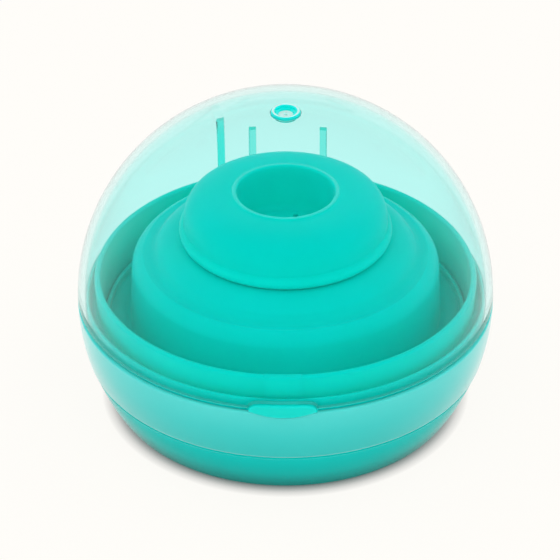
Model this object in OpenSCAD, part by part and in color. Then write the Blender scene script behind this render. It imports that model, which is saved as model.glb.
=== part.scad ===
// Soother steriliser case: a ball-shaped microwave case with a clear hinged lid, a double-walled
// base with a water bowl, a lift-out steam tray, and the cap that a soother sits on.
// Millimetres. The origin is the middle of the flat underside, +Z is up and -Y is the front.
// A height whose name ends in _z is counted up or down from the seam between lid and base.

/* [Ball] */
// Outer diameter of the ball
case_d = 124; // [116:1:140]
// Height of the seam above the table
seam_h = 34.5; // [32:0.5:40]
// Wall of the clear lid
lid_wall = 2; // [1.6:0.1:2.4]
// Wall of the frosted base shell
base_wall = 1.8; // [1.4:0.1:2.2]
// Gap between the lid and the bowl's flange
seam_gap = 0.3; // [0.2:0.05:0.5]
// Round on the upper edge of the base shell
shell_round = 0.7; // [0.4:0.1:1]

/* [Foot] */
// Depth of the parting line between shell and foot, below the seam
parting_z = 18; // [15:0.5:20]
// Wall of the foot
foot_wall = 2; // [1.6:0.1:2.6]
// How far the foot stands back from the ball
foot_step = 0.3; // [0.2:0.05:0.5]
// Round where the foot turns into the flat underside
foot_round = 3.5; // [2:0.5:6]
// Chamfer on each side of the parting line
parting_chamfer = 0.3; // [0.2:0.05:0.5]
// Height of the spigot that centres the foot in the shell
spigot_h = 4; // [2:0.5:5]
// Wall of that spigot
spigot_wall = 1.6; // [1.2:0.1:2]
// Gap between the spigot and the shell
spigot_gap = 0.2; // [0.1:0.05:0.3]
// Depth of the ring groove in the underside
groove_deep = 0.8; // [0.4:0.1:1.2]
// Width of the ring groove in the underside
groove_w = 3; // [2:0.5:5]
// Middle radius of the ring groove in the underside
groove_r = 32; // [20:1:36]

/* [Water bowl] */
// Room between the rim of the bowl and the inside of the lid
bowl_room = 3.3; // [2.6:0.1:4]
// Height of the bowl rim above the seam
bowl_rim_z = 8.8; // [7:0.2:10]
// Wall of the bowl
bowl_wall = 1.8; // [1.4:0.1:2.2]
// How far the upper wall draws in from the rim down to the ledge
bowl_draft = 0.5; // [0.2:0.1:0.8]
// Depth of the ledge that carries the steam tray
ledge_z = 9.6; // [8:0.2:12]
// Width of that ledge
ledge_w = 2.9; // [2.4:0.1:4]
// How far the lower wall draws in from the ledge down to the floor
well_wall_draft = 1; // [0.5:0.1:2]
// Depth of the bowl's floor below the seam
bowl_floor_z = 24; // [20:0.5:27]
// Round between the bowl's wall and its floor
bowl_round = 6; // [3:0.5:8]
// Thickness of the flange that lies between lid and shell
flange_t = 0.9; // [0.7:0.1:1.4]
// How far the flange stands back from the ball
flange_step = 1; // [0.3:0.1:1.2]
// Height of the upstand that centres the lid
upstand_z = 3; // [2:0.2:5]
// Wall of the upstand
upstand_t = 0.9; // [0.7:0.1:1.4]
// Gap between the upstand and the lid
upstand_gap = 0.4; // [0.3:0.05:0.6]
// Width of the grip tab on the front of the bowl's wall
grip_w = 10.7; // [8:0.5:14]
// How far the grip tab stands out from the wall
grip_out = 1; // [0.6:0.1:1.4]
// How far the grip tab stands above the rim
grip_up = 0.6; // [0.3:0.1:1]

/* [Front tongue] */
// Width of the tongue at the front of the seam
tongue_w = 19.6; // [16:0.2:28]
// How far the tongue hangs below the seam
tongue_drop = 1.7; // [1:0.1:5]
// How far the tongue stands above the seam
tongue_up = 2.6; // [1:0.1:3]
// Thickness of the tongue
tongue_t = 2.2; // [1.8:0.1:2.6]
// How far the tongue stands proud of the ball
tongue_out = 0.6; // [0.2:0.1:1]
// Gap round the tongue in the lid and in the shell
tongue_gap = 0.3; // [0.2:0.05:0.5]

/* [Steam tray] */
// Wall of the steam tray
tray_wall = 1.6; // [1.2:0.1:2]
// Gap between the tray's brim and the bowl
tray_gap = 0.3; // [0.2:0.05:0.5]
// Width of the gutter from the brim's edge to the top of the shoulder's side
gutter_w = 8.5; // [7:0.1:10]
// Height of the brim's lip above the gutter's floor
brim_lip_h = 2.4; // [1:0.1:4]
// Thickness of the brim's lip
brim_lip_t = 1.2; // [0.8:0.1:1.6]
// How far the shoulder's side spreads down to the gutter
shoulder_draft = 0.8; // [0.4:0.1:1.2]
// Height of the shoulder's top above the seam
shoulder_z = 15; // [13:0.2:17]
// Round of the shoulder's edge
shoulder_round = 5; // [3:0.2:6]
// Round in the gutter at the foot of the shoulder
gutter_round = 2.4; // [1.8:0.1:3]
// Depth of the crease where the neck meets the shoulder
crease_deep = 0.5; // [0.2:0.1:0.8]
// Width of the slope down into that crease
crease_w = 1.8; // [1.2:0.1:2.4]
// Height of the flat that the cap stands on
neck_z = 20.5; // [19.5:0.1:22]
// Width of that flat
neck_flat = 2.4; // [2:0.1:3.4]
// Outer radius of the collar inside the cap
collar_r = 27.6; // [26:0.2:28]
// Height of the collar above the neck's flat
collar_h = 5.5; // [4:0.5:6.5]
// Number of drain holes at the front of the gutter, and again at the rear
drain_n = 3; // [1:1:5]
// Turn from one drain hole to the next
drain_turn = 14; // [8:1:20]
// Diameter of a drain hole
drain_d = 2.4; // [1.6:0.2:2.6]
// Distance of the drain holes from the ledge
drain_edge = 0.1; // [0.05:0.05:0.3]

/* [Seat cap] */
// Wall of the cap
cap_wall = 1.6; // [1.2:0.1:1.8]
// Gap between the cap and the collar
cap_gap = 0.2; // [0.1:0.05:0.3]
// How far the lip stands out beyond the neck
lip_out = 1.4; // [1:0.1:2.4]
// Height of the lip
lip_h = 4.4; // [3:0.1:5]
// Height of the crown above the neck's flat
crown_h = 14.5; // [13:0.1:16]
// How far below the lip's top the crown's curve starts
crown_start = 0.9; // [0.6:0.1:2]
// Fullness of the crown's curve
crown_full = 3.1; // [2.4:0.1:3.4]
// Inner radius of the well at its mouth
well_r = 14.3; // [12:0.1:16]
// How far the well draws in down to its floor
well_draft = 0.5; // [0.2:0.1:1]
// Depth of the well below the crown
well_deep = 13.8; // [10:0.2:15]
// Round between the well's wall and its floor
well_round = 2.5; // [1.5:0.1:4]
// Radius of the rolled bead round the well's mouth
mouth_bead = 0.85; // [0.6:0.05:1.1]
// Depth of that bead's middle below the crown
mouth_sink = 0.3; // [0.1:0.1:0.5]
// Number of steam holes in the well's floor
steam_n = 3; // [1:1:6]
// Diameter of a steam hole
steam_d = 1.6; // [1:0.1:2.4]
// Distance of the steam holes from the edge of the flat floor
steam_edge = 1.7; // [1.4:0.1:3]
// Turn of the first steam hole from the rear
steam_turn = 18; // [0:1:60]

/* [Hinge and ribs] */
// Gap between the hinge knuckles and the ball
hinge_gap = 0.5; // [0.4:0.1:1.2]
// Outer radius of the hinge knuckles
knuckle_r = 2.9; // [2.4:0.1:3.4]
// Radius of the hinge pin
pin_r = 1.2; // [1:0.05:1.5]
// Running clearance of the pin in the base knuckle
pin_gap = 0.05; // [0.02:0.01:0.1]
// Clearance of the pin in the lid's lugs
lug_fit = 0.02; // [0.01:0.01:0.05]
// How far the pin's head stands round the pin
pin_head = 0.7; // [0.4:0.1:1]
// Length of the pin's head
pin_head_l = 0.8; // [0.5:0.1:1.5]
// Distance of each hinge rib from the middle
rib_x = 11.3; // [9:0.1:13]
// Width of a rib
rib_w = 2.3; // [1.8:0.1:3]
// Height of a hinge rib above the seam
rib_z = 24.5; // [16:0.5:30]
// How far a hinge rib stands out of the lid at its top
rib_out = 1.3; // [0.8:0.1:2]
// Side gap between the lid's lugs and the base knuckle
knuckle_gap = 0.3; // [0.2:0.05:0.5]
// Depth of the web below the base knuckle
web_z = 9.5; // [7:0.5:13]
// Height of the tall rib inside the lid
tall_rib_z = 35; // [20:0.5:38]
// Depth of the tall rib
tall_rib_deep = 1.5; // [1:0.1:1.8]
// Distance of the tall rib from the middle, towards the left
tall_rib_x = 20.8; // [17:0.2:30]

/* [Steam vent] */
// Outer radius of the vent ring
vent_r = 4.4; // [4.2:0.1:6]
// Radius of the hole that holds the vent ring
vent_hole_r = 3.6; // [3.4:0.1:4]
// Width of the vent ring
vent_ring_w = 1.4; // [1:0.1:1.6]
// How far the vent ring stands out of the lid
vent_out = 0.7; // [0.5:0.1:1.2]
// How deep the vent ring is let into the lid
vent_seat = 0.5; // [0.3:0.1:0.8]
// Thickness of the web inside the vent ring
web_t = 0.7; // [0.5:0.1:1]
// Diameter of the steam pinhole
pinhole_d = 1; // [0.6:0.1:1.6]
// Clearance of the vent ring in its hole
vent_fit = 0.1; // [0.08:0.01:0.15]

/* [Hidden] */
$fn = 96;

// Depth by which features of one piece run into each other, and the reach of a cutting block
bite = 0.6;
far = 2 * case_d;
// Steps in a quarter of a rounded corner, along the crown and along half of the tongue's edge
corner_n = 8;
crown_n = 20;
tongue_n = 12;
// Powers that give the tongue's edge its flat middle and its soft ends
tongue_flat = 2.4;
tongue_soft = 1.3;
// Angles at which the ribs and the web leave the round knuckles
rib_leave = 22;
web_leave = -35;

ball_r = case_d / 2;
lid_in_r = ball_r - lid_wall;
shell_in_r = ball_r - base_wall;
shell_top_z = -flange_t / 2;
flange_top_z = flange_t / 2;
lid_low_z = flange_top_z + seam_gap;

foot_r = ball_r - foot_step;
foot_turn_z = foot_round - seam_h;
foot_turn_r = ball_section(foot_r - foot_round, foot_turn_z);
foot_turn_a = atan2(foot_turn_z, foot_turn_r);
spigot_r = ball_section(shell_in_r, parting_z) - spigot_gap;

bowl_r = lid_in_r - bowl_room;
bowl_in_r = bowl_r - bowl_wall;
ledge_out_r = bowl_in_r - bowl_draft;
ledge_in_r = ledge_out_r - ledge_w;
bowl_turn_z = bowl_round - bowl_floor_z;
bowl_turn_r = ledge_in_r - well_wall_draft - bowl_round;
upstand_r = ball_section(lid_in_r, upstand_z) - upstand_gap;
tongue_r = ball_r + tongue_out;

tray_r = ledge_out_r - tray_gap;
shoulder_r = tray_r - gutter_w;
gutter_z = tray_wall - ledge_z;
gutter_turn_r = shoulder_r + shoulder_draft + gutter_round;
gutter_turn_z = gutter_z + gutter_round;
shoulder_turn_r = shoulder_r - shoulder_round;
shoulder_turn_z = shoulder_z - shoulder_round;
drain_r = ledge_in_r - drain_edge - drain_d / 2;
neck_r = collar_r + neck_flat;
crease_r = shoulder_turn_r - crease_w;
crease_z = shoulder_z - crease_deep;
bell_w = crease_r - neck_r;
bell_h = neck_z - crease_z;

cap_in_r = collar_r + cap_gap;
lip_r = neck_r + lip_out;
crown_low_z = neck_z + lip_h - crown_start;
crown_z = neck_z + crown_h;
cap_roof_z = neck_z + collar_h;
cup_r = well_r + cap_wall;
well_floor_z = crown_z - well_deep;
well_turn_r = well_r - well_draft - well_round;
steam_r = well_turn_r - steam_edge;

hinge_y = ball_r + hinge_gap + knuckle_r;
lug_in_x = rib_x - rib_w / 2;
lug_out_x = rib_x + rib_w / 2;
knuckle_x = lug_in_x - knuckle_gap;
vent_seat_z = ball_section(ball_r, vent_r) - vent_seat;
vent_in_r = vent_r - vent_ring_w;

// Radius of a ball's section at a height from its middle
function ball_section(r, z) = sqrt(r * r - z * z);
// Points of an arc about a centre, from one angle to another
function arc(centre, r, a0, a1, n = corner_n) =
    [for (i = [0:n]) let (a = a0 + (a1 - a0) * i / n) centre + r * [cos(a), sin(a)]];
// Points of a full curve that rises from its outer foot to its inner top
function full_curve(foot, top, n = crown_n) =
    [for (i = [0:n]) let (a = 90 * i / n, p = 2 / crown_full)
        [top[0] + (foot[0] - top[0]) * pow(cos(a), p), foot[1] + (top[1] - foot[1]) * pow(sin(a), p)]];
// Points of the bell from the neck out and down to the crease, set in by a wall where given
function bell(wall = 0) =
    [for (i = [0:corner_n]) let (a = 90 * i / corner_n)
        [neck_r + (bell_w - wall) * sin(a), crease_z + (bell_h - wall) * cos(a)]];
// The list turned end for end
function turned(list) = [for (i = [len(list) - 1:-1:0]) list[i]];

module at_seam() translate([0, 0, seam_h]) children();

// Draws an outline in the plane of Y and Z and makes it reach from one X to another
module across(x0, x1) translate([x0, 0, 0]) rotate([90, 0, 90]) linear_extrude(x1 - x0) children();

// A round bar along the hinge axis
module hinge_bar(r, x0, x1) translate([x0, hinge_y, 0]) rotate([0, 90, 0]) cylinder(r = r, h = x1 - x0);

// Ring of a ball's wall between two heights, for turning about Z
module wall_outline(r_out, r_in, z0, z1) {
    difference() {
        intersection() {
            circle(r_out);
            translate([0, z0]) square([r_out, z1 - z0]);
        }
        circle(r_in);
    }
}

// The tongue's face, seen from the front, set out all round by a gap
module tongue_outline(gap = 0) {
    half = tongue_w / 2 + gap;
    drop = tongue_drop + gap;
    edge = [for (i = [-tongue_n:tongue_n]) let (u = i / tongue_n)
        [half * u, -drop * pow(1 - pow(abs(u), tongue_flat), tongue_soft)]];
    polygon(concat(edge, [[half, tongue_up + gap], [-half, tongue_up + gap]]));
}

// The tongue's face carried through the front wall
module tongue_block(gap = 0) rotate([90, 0, 0]) linear_extrude(far) tongue_outline(gap);

// Lug and gusset on one side of the hinge, cut back into the ball's wall
module hinge_rib(side) {
    difference() {
        across(side * rib_x - rib_w / 2, side * rib_x + rib_w / 2) {
            translate([hinge_y, 0]) circle(knuckle_r);
            polygon([
                [0, lid_low_z],
                [hinge_y, lid_low_z],
                [hinge_y + knuckle_r * cos(rib_leave), knuckle_r * sin(rib_leave)],
                [ball_section(ball_r, rib_z) + rib_out, rib_z],
                [0, rib_z]
            ]);
        }
        sphere(ball_r - bite);
    }
}

// Rib on the inside of the lid, clear of the bowl's upstand
module tall_rib() {
    intersection() {
        rotate_extrude()
            wall_outline(lid_in_r + bite, lid_in_r - tall_rib_deep, upstand_z + bite, tall_rib_z);
        translate([-tall_rib_x - rib_w / 2, 0, 0]) cube([rib_w, far, far]);
    }
}

module lid_dome() color([0.7, 0.96, 0.93, 0.4]) at_seam() {
    difference() {
        union() {
            rotate_extrude() wall_outline(ball_r, lid_in_r, lid_low_z, ball_r);
            for (side = [-1, 1]) hinge_rib(side);
            tall_rib();
        }
        hinge_bar(pin_r + lug_fit, -far, far);
        tongue_block(tongue_gap);
        cylinder(r = vent_hole_r, h = far);
        translate([0, 0, vent_seat_z]) cylinder(r = vent_r + vent_fit, h = far);
    }
}

// Steam vent: a ring round a thin web with a pinhole
module vent_ring() color([0.05, 0.75, 0.7]) at_seam() {
    bead_r = vent_ring_w / 2;
    bead_z = ball_r + vent_out - bead_r;
    body_r = vent_hole_r - vent_fit;
    rotate_extrude() {
        intersection() {
            translate([vent_r - bead_r, bead_z]) circle(bead_r);
            translate([vent_in_r, vent_seat_z]) square([vent_ring_w, far]);
        }
        translate([vent_in_r, vent_seat_z]) square([vent_ring_w, bead_z - vent_seat_z]);
        translate([pinhole_d / 2, vent_seat_z - web_t]) square([body_r - pinhole_d / 2, web_t]);
        translate([vent_in_r - bead_r, lid_in_r - bead_r / 2])
            square([body_r - vent_in_r + bead_r, vent_seat_z - lid_in_r + bead_r / 2]);
        translate([vent_in_r - bead_r, vent_seat_z - web_t])
            square([body_r - vent_in_r + bead_r, web_t + bite]);
    }
}

module hinge_pin() color([0.9, 0.95, 0.95]) at_seam() {
    hinge_bar(pin_r, -lug_out_x, lug_out_x);
    hinge_bar(pin_r + pin_head, lug_out_x, lug_out_x + pin_head_l);
}

// Web that carries the base knuckle, cut back into the ball's wall
module hinge_web() {
    difference() {
        across(-knuckle_x, knuckle_x) polygon([
            [0, -web_z],
            [ball_section(ball_r, web_z), -web_z],
            [hinge_y + knuckle_r * cos(web_leave), knuckle_r * sin(web_leave)],
            [hinge_y, shell_top_z],
            [0, shell_top_z]
        ]);
        sphere(ball_r - bite);
    }
}

module base_shell() color([0.72, 0.9, 0.9]) at_seam() {
    edge_r = ball_section(ball_r, shell_top_z);
    low_r = ball_section(ball_r, parting_z);
    c = parting_chamfer;
    difference() {
        union() {
            rotate_extrude() difference() {
                wall_outline(ball_r, shell_in_r, -parting_z, shell_top_z);
                translate([edge_r - shell_round, shell_top_z - shell_round]) difference() {
                    square(2 * shell_round);
                    circle(shell_round);
                }
                polygon([[low_r - c, -parting_z], [low_r + c, -parting_z], [low_r + c, 2 * c - parting_z]]);
            }
            hinge_web();
            hinge_bar(knuckle_r, -knuckle_x, knuckle_x);
        }
        hinge_bar(pin_r + pin_gap, -far, far);
        tongue_block(tongue_gap);
    }
}

module base_foot() color([0.02, 0.7, 0.67]) at_seam() {
    top_r = ball_section(foot_r, parting_z);
    c = parting_chamfer;
    turn = [foot_turn_r, foot_turn_z];
    in_r = foot_r - foot_wall;
    root_z = parting_z + spigot_h / 2;
    outside = concat(arc([0, 0], foot_r, -asin(parting_z / foot_r), foot_turn_a),
                     arc(turn, foot_round, foot_turn_a, -90));
    inside = concat(arc(turn, foot_round - foot_wall, -90, foot_turn_a),
                    arc([0, 0], in_r, foot_turn_a, -asin(root_z / in_r)));
    spigot = [
        [spigot_r - spigot_wall, -root_z],
        [spigot_r - spigot_wall, spigot_h - parting_z],
        [spigot_r, spigot_h - parting_z],
        [spigot_r, -parting_z]
    ];
    difference() {
        rotate_extrude() difference() {
            polygon(concat(outside, [[0, -seam_h], [0, foot_wall - seam_h]], inside, spigot));
            polygon([[top_r - c, -parting_z], [top_r + c, -parting_z], [top_r + c, -2 * c - parting_z]]);
        }
        translate([0, 0, -seam_h]) rotate_extrude()
            translate([groove_r - groove_w / 2, -groove_deep]) square([groove_w, 2 * groove_deep]);
    }
}

// Wall and floor of the bowl, from the rounded rim down to the middle of the floor
module bowl_outline() {
    rim_round = bowl_wall / 2;
    rim = arc([bowl_r - rim_round, bowl_rim_z - rim_round], rim_round, 0, 180);
    turn = [bowl_turn_r, bowl_turn_z];
    polygon(concat(
        rim,
        [[ledge_out_r, -ledge_z], [ledge_in_r, -ledge_z]],
        arc(turn, bowl_round, 0, -90),
        [[0, -bowl_floor_z], [0, -bowl_floor_z - bowl_wall]],
        arc(turn, bowl_round + bowl_wall, -90, 0),
        [[ledge_in_r + bowl_wall, -ledge_z - bowl_wall], [ledge_out_r + bowl_wall, -ledge_z - bowl_wall / 2]]
    ));
}

module water_bowl() color([0, 0.82, 0.77]) at_seam() {
    rotate_extrude() {
        bowl_outline();
        translate([ledge_out_r + bowl_wall / 2, shell_top_z])
            square([ball_r - flange_step - ledge_out_r - bowl_wall / 2, flange_t]);
        translate([upstand_r - upstand_t, 0]) square([upstand_t, upstand_z]);
    }
    // Grip tab on the wall above the tongue
    intersection() {
        difference() {
            cylinder(r = bowl_r + grip_out, h = bowl_rim_z + grip_up);
            cylinder(r = bowl_r - bowl_wall / 2, h = far);
        }
        translate([-grip_w / 2, -far, 0]) cube([grip_w, far, far]);
    }
    // Tongue that fills the notch in the shell and the lid
    intersection() {
        tongue_block();
        difference() {
            sphere(tongue_r);
            sphere(tongue_r - tongue_t);
        }
    }
}

module steam_tray() color([0, 0.8, 0.75]) at_seam() {
    gutter_turn = [gutter_turn_r, gutter_turn_z];
    shoulder_turn = [shoulder_turn_r, shoulder_turn_z];
    lip_in_r = tray_r - brim_lip_t;
    collar_in_r = collar_r - tray_wall;
    top_side = concat(
        [[tray_r, -ledge_z], [tray_r, gutter_z + brim_lip_h]],
        [[lip_in_r, gutter_z + brim_lip_h], [lip_in_r, gutter_z]],
        arc(gutter_turn, gutter_round, 270, 180),
        arc(shoulder_turn, shoulder_round, 0, 90),
        turned(bell()),
        [[collar_r, neck_z], [collar_r, neck_z + collar_h]]
    );
    under_side = concat(
        [[collar_in_r, neck_z + collar_h], [collar_in_r, neck_z - tray_wall]],
        bell(tray_wall),
        [[crease_r, crease_z - tray_wall]],
        arc(shoulder_turn, shoulder_round - tray_wall, 90, 0),
        arc(gutter_turn, gutter_round + tray_wall, 180, 270)
    );
    difference() {
        rotate_extrude() polygon(concat(top_side, under_side));
        for (way = [-90, 90], i = [0:drain_n - 1])
            rotate([0, 0, way + (i - (drain_n - 1) / 2) * drain_turn])
                translate([drain_r, 0, -ledge_z - tray_wall]) cylinder(d = drain_d, h = 3 * tray_wall);
    }
}

module seat_cap() color([0, 0.85, 0.8]) at_seam() {
    lip_mid = lip_h / 2;
    difference() {
        rotate_extrude() difference() {
            union() {
                polygon(concat([[0, neck_z], [neck_r, neck_z]],
                               full_curve([neck_r, crown_low_z], [well_r, crown_z]), [[0, crown_z]]));
                translate([lip_r - lip_mid, neck_z + lip_mid]) circle(lip_mid);
                translate([well_r + mouth_bead, crown_z - mouth_sink]) circle(mouth_bead);
                translate([0, well_floor_z - cap_wall]) square([cup_r, well_deep]);
            }
            // The well
            polygon(concat([[0, well_floor_z]],
                           arc([well_turn_r, well_floor_z + well_round], well_round, -90, 0),
                           [[well_r, crown_z + bite], [0, crown_z + bite]]));
            // The hollow between the cup of the well and the crown
            polygon(concat([[cup_r, neck_z - far], [cap_in_r, neck_z - far]],
                           full_curve([cap_in_r, cap_roof_z], [cup_r, crown_z - cap_wall])));
        }
        for (i = [0:steam_n - 1]) rotate([0, 0, 90 - steam_turn + 360 * i / steam_n])
            translate([steam_r, 0, well_floor_z - 2 * cap_wall]) cylinder(d = steam_d, h = 4 * cap_wall);
    }
}

lid_dome();
vent_ring();
hinge_pin();
base_shell();
base_foot();
water_bowl();
steam_tray();
seat_cap();
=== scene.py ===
"""Soother steriliser case: the dressed model, its studio and its camera.

Sizes are in millimetres until a mesh is made. Heights are counted from the seam between lid and
base, as they are on the part itself, and SEAM lifts them to the table's frame.
"""

from __future__ import annotations

import logging
import math
from collections.abc import Callable, Iterable, Sequence
from dataclasses import dataclass, field
from enum import Enum
from typing import Any

import bmesh
import bpy
from mathutils import Matrix, Vector


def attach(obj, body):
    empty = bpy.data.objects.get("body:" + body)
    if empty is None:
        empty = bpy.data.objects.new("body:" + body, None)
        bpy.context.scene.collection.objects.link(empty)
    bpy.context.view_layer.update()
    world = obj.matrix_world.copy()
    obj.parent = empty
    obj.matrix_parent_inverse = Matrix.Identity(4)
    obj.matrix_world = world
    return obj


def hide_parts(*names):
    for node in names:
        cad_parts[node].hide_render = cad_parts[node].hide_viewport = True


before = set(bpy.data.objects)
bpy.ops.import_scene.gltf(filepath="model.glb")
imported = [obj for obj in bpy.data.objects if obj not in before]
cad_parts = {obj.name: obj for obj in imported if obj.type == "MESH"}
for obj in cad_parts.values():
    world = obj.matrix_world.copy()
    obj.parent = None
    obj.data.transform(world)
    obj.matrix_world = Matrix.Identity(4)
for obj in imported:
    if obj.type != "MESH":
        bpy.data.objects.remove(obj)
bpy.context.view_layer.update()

LOG = logging.getLogger("steriliser_case")

MM = 0.001
SEAM = 34.5
BALL_R = 62.0
LID_IN_R = 60.0
SHELL_IN_R = 60.2
HINGE_Y = 65.4
KNUCKLE_R = 2.9
PIN_R = 1.2
BORE_HALF = 20.0
IMAGE_PX = 560

# An outline's points closer than this are one, and a point this close to the axis is on it
SAME_MM = 1e-4
# Vertices closer than this are one after a cut, and an edge shorter than the second is dropped
MERGE_M = 2e-6
SLIVER_M = 1e-6
# A corner flatter than this is not rounded, and the rest are rounded in steps of about 15 degrees
FLAT_CORNER_DEG = 176.0
CORNER_STEP_DEG = 15.0
# Largest share of an outline's straight run that the rounding of one corner may take
CORNER_SHARE = 0.48

# Range that most of a noise texture's values lie in
CLOUD_LOW = 0.30
CLOUD_HIGH = 0.70
BUMP_STRENGTH = 0.3

Point = tuple[float, float]
Colour = tuple[float, float, float, float]
Piece = bpy.types.Object
Material = bpy.types.Material
Tree = bpy.types.NodeTree
Node = bpy.types.Node
Socket = bpy.types.NodeSocket


# ----------------------------------------------------------------------------------------------
# Outlines
# ----------------------------------------------------------------------------------------------


@dataclass(frozen=True)
class Bend:
    """A corner of an outline, and the radius that its edge is rounded to."""

    r: float
    z: float
    soft: float = 0.0


def arc(centre: Point, radius: float, start: float, end: float, steps: int = 12) -> list[Point]:
    """Points along an arc.

    Args:
        centre: Middle of the arc.
        radius: Its radius.
        start: First angle in degrees, counted from the first axis.
        end: Last angle in degrees.
        steps: Number of straight steps.

    Returns:
        The points, both ends included.
    """
    turn = [math.radians(start + (end - start) * i / steps) for i in range(steps + 1)]
    return [(centre[0] + radius * math.cos(a), centre[1] + radius * math.sin(a)) for a in turn]


def section(radius: float, height: float) -> float:
    """Returns the radius of a ball's section at a height from its middle."""
    return math.sqrt(radius * radius - height * height)


def polar(radius: float, height: float) -> float:
    """Returns the angle in degrees at which a ball's section has that height."""
    return math.degrees(math.asin(height / radius))


def rounded_corner(before: Point, bend: Bend, after: Point) -> list[Point]:
    """Rounds one corner of an outline.

    Args:
        before: The point before the corner.
        bend: The corner.
        after: The point after it.

    Returns:
        The points that take the corner's place.
    """
    here = Vector((bend.r, bend.z))
    to_before, to_after = Vector(before) - here, Vector(after) - here
    angle = to_before.angle(to_after)
    if bend.soft <= 0 or angle > math.radians(FLAT_CORNER_DEG):
        return [(bend.r, bend.z)]
    room = CORNER_SHARE * min(to_before.length, to_after.length)
    reach = min(bend.soft / math.tan(angle / 2), room)
    radius = reach * math.tan(angle / 2)
    u, v = to_before.normalized(), to_after.normalized()
    middle = here + (u + v).normalized() * radius / math.sin(angle / 2)
    first, last = here + u * reach - middle, here + v * reach - middle
    steps = max(3, round(math.degrees(math.pi - angle) / CORNER_STEP_DEG))
    sweep = first.angle_signed(last)
    points = []
    for i in range(steps + 1):
        turned = Matrix.Rotation(-sweep * i / steps, 2) @ first
        points.append((middle.x + turned.x, middle.y + turned.y))
    return points


def outline(parts: Iterable[Bend | Sequence[Point]], closed: bool = True) -> list[Point]:
    """Joins corners and runs of points to one outline, with the corners rounded.

    Args:
        parts: Corners and runs of points, in order.
        closed: Whether the last point joins the first.

    Returns:
        The outline's points.
    """
    flat: list[Bend] = []
    for part in parts:
        flat += [part] if isinstance(part, Bend) else [Bend(r, z) for r, z in part]
    points: list[Point] = []
    for i, bend in enumerate(flat):
        if not closed and i in (0, len(flat) - 1):
            points.append((bend.r, bend.z))
            continue
        before, after = flat[i - 1], flat[(i + 1) % len(flat)]
        points += rounded_corner((before.r, before.z), bend, (after.r, after.z))
    clean = [points[0]]
    for p in points[1:]:
        if math.dist(p, clean[-1]) > SAME_MM:
            clean.append(p)
    return clean


# ----------------------------------------------------------------------------------------------
# Meshes
# ----------------------------------------------------------------------------------------------


def finish_mesh(bm: bmesh.types.BMesh, name: str, lift: float = SEAM) -> Piece:
    """Makes an object of a mesh in millimetres.

    Args:
        bm: The mesh, which is freed.
        name: Name of the object.
        lift: Height in millimetres that the mesh is raised by.

    Returns:
        The object, in metres.
    """
    bmesh.ops.recalc_face_normals(bm, faces=bm.faces)
    to_metres = Matrix.Scale(MM, 4) @ Matrix.Translation((0, 0, lift))
    bmesh.ops.transform(bm, matrix=to_metres, verts=bm.verts)
    mesh = bpy.data.meshes.new(name)
    bm.to_mesh(mesh)
    bm.free()
    piece = bpy.data.objects.new(name, mesh)
    bpy.context.scene.collection.objects.link(piece)
    return piece


def lathe(name: str, points: Sequence[Point], segments: int = 256) -> Piece:
    """Turns an outline about the upright axis.

    Args:
        name: Name of the object.
        points: Outline of radius and height. It is open where it starts and ends on the axis.
        segments: Number of steps round the axis.

    Returns:
        The turned object.
    """
    bm = bmesh.new()
    rings = []
    for r, z in points:
        if r < SAME_MM:
            rings.append([bm.verts.new((0, 0, z))])
            continue
        turn = [2 * math.pi * (i + 0.5) / segments for i in range(segments)]
        rings.append([bm.verts.new((r * math.cos(a), r * math.sin(a), z)) for a in turn])
    pairs = list(zip(rings, rings[1:]))
    if len(rings[0]) > 1:
        pairs.append((rings[-1], rings[0]))
    for low, high in pairs:
        for i in range(segments):
            j = (i + 1) % segments
            corners = ((low, i), (low, j), (high, j), (high, i))
            # A ring on the axis is one point, which a face takes only once
            bm.faces.new(list(dict.fromkeys(ring[k % len(ring)] for ring, k in corners)))
    return finish_mesh(bm, name)


def prism(name: str, points: Sequence[Point], low: float, high: float, turn: Matrix,
          soft: float = 0.0) -> Piece:
    """Carries a flat outline straight from one distance to another.

    Args:
        name: Name of the object.
        points: The flat outline.
        low: Distance at which the body starts.
        high: Distance at which it ends.
        turn: Matrix that lays the outline's plane and its direction in the part.
        soft: Radius that the edges of both ends are rounded to.

    Returns:
        The body.
    """
    bm = bmesh.new()
    ends = [[bm.verts.new((x, y, z)) for x, y in points] for z in (low, high)]
    caps = [bm.faces.new(ends[0]), bm.faces.new(ends[1])]
    for i in range(len(points)):
        j = (i + 1) % len(points)
        bm.faces.new([ends[0][i], ends[0][j], ends[1][j], ends[1][i]])
    bmesh.ops.recalc_face_normals(bm, faces=bm.faces)
    if soft > 0:
        edges = list({e for cap in caps for e in cap.edges})
        bmesh.ops.bevel(bm, geom=edges, offset=soft, segments=3, profile=0.5, affect="EDGES",
                        clamp_overlap=True)
    bmesh.ops.transform(bm, matrix=turn, verts=bm.verts)
    return finish_mesh(bm, name)


# Lays an outline of Y and Z in its plane, with the body running along X
ALONG_X = Matrix(((0, 0, 1, 0), (1, 0, 0, 0), (0, 1, 0, 0), (0, 0, 0, 1)))
# Lays an outline of X and Z in its plane, with the body running to the front
TO_FRONT = Matrix(((1, 0, 0, 0), (0, 0, -1, 0), (0, 1, 0, 0), (0, 0, 0, 1)))


def rod(name: str, radius: float, centre: Point, low: float, high: float, turn: Matrix,
        steps: int = 40) -> Piece:
    """Makes a round bar, which is a prism of a circle.

    Args:
        name: Name of the object.
        radius: Radius of the bar.
        centre: Middle of the circle in its plane.
        low: Distance at which the bar starts.
        high: Distance at which it ends.
        turn: Matrix that lays the circle's plane and the bar's direction in the part.
        steps: Number of straight steps round the circle.

    Returns:
        The bar.
    """
    return prism(name, arc(centre, radius, 0, 360 * (1 - 1 / steps), steps - 1), low, high, turn)


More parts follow.
